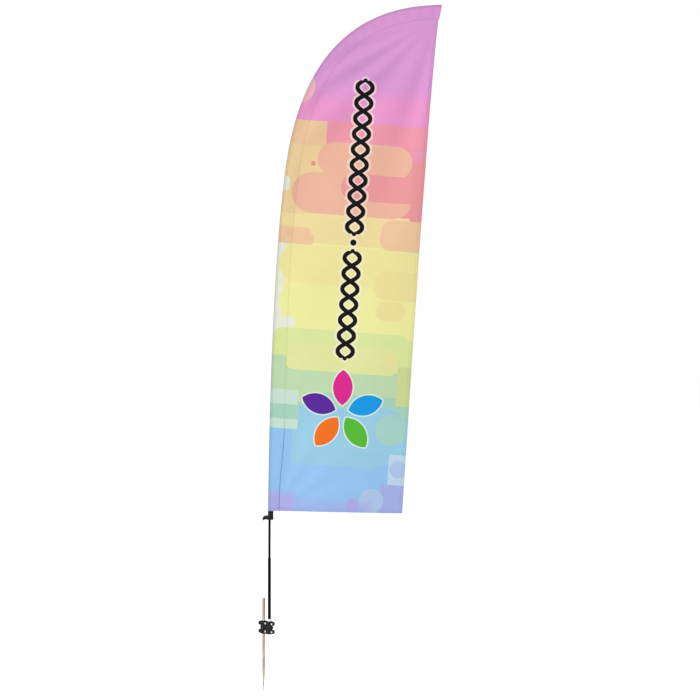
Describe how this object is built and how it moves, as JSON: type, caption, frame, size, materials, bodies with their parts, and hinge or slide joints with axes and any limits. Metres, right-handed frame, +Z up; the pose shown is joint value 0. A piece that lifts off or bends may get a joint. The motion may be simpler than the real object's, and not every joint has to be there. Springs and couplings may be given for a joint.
{
  "type": "sail flag with ground stake",
  "caption": "Tall printed sail flag sleeved over a bent sectional pole that turns on a spindle, held by a moulded bracket on a pointed steel ground stake.",
  "frame": {"origin": "on the ground stake's axis, level with the bracket's underside, which is ground level", "axes": "+Z up along the stake, +X from the pole towards the flag's trailing edge, and the flag hangs parallel to XZ"},
  "size_m": [0.7541, 0.0486, 2.8213],
  "materials": {
    "zinc_steel": "zinc plated, satin",
    "bright_steel": "bright",
    "black_steel": "oil blacked",
    "black_moulding": "fine moulded grain",
    "white_nylon": "satin",
    "black_pole": "satin lacquer",
    "black_rubber": "matte",
    "printed_cloth": "printed knitted polyester, many pastel colours"
  },
  "bodies": {
    "bracket": {"ground_stake": "zinc_steel", "bracket_front": "black_moulding", "bracket_rear": "black_moulding", "spindle_pin": "bright_steel", "bracket_screw_1": "bright_steel", "bracket_screw_2": "bright_steel", "bracket_screw_3": "bright_steel", "bracket_screw_4": "bright_steel", "bracket_nut_1": "bright_steel", "bracket_nut_2": "bright_steel", "bracket_nut_3": "bright_steel", "bracket_nut_4": "bright_steel"},
    "bearing": {"thrust_washer": "white_nylon"},
    "lower_mast": {"lower_pole": "black_pole", "pole_bush": "white_nylon", "pole_stop_plug": "white_nylon"},
    "flag": {"middle_pole": "black_pole", "upper_pole": "black_pole", "tip_pole": "black_pole", "joint_spigot_lower": "bright_steel", "joint_spigot_upper": "bright_steel", "tip_cap": "black_rubber", "pole_sleeve": "printed_cloth", "tip_pocket": "printed_cloth", "flag_panel": "printed_cloth"},
    "tension_clip": {"hook_clip": "black_moulding", "clip_screw_1": "black_steel", "clip_screw_2": "black_steel", "clip_nut_1": "black_steel", "clip_nut_2": "black_steel"}
  },
  "joints": [
    {"name": "flag_swivel", "type": "hinge", "parent": "bracket", "child": "bearing", "pos_m": [0.02451, -0.01415, 0.055], "axis": [0, 0, 1], "continuous": true},
    {"name": "pole_lift", "type": "slide", "parent": "bearing", "child": "lower_mast", "axis": [0, 0, 1], "range_m": [0, 0.14]},
    {"name": "mast_socket", "type": "slide", "parent": "lower_mast", "child": "flag", "axis": [0, 0, 1], "range_m": [0, 0.055]},
    {"name": "clip_slide", "type": "slide", "parent": "flag", "child": "tension_clip", "axis": [0.0064, 0, 1], "range_m": [-0.06, 0]}
  ]
}
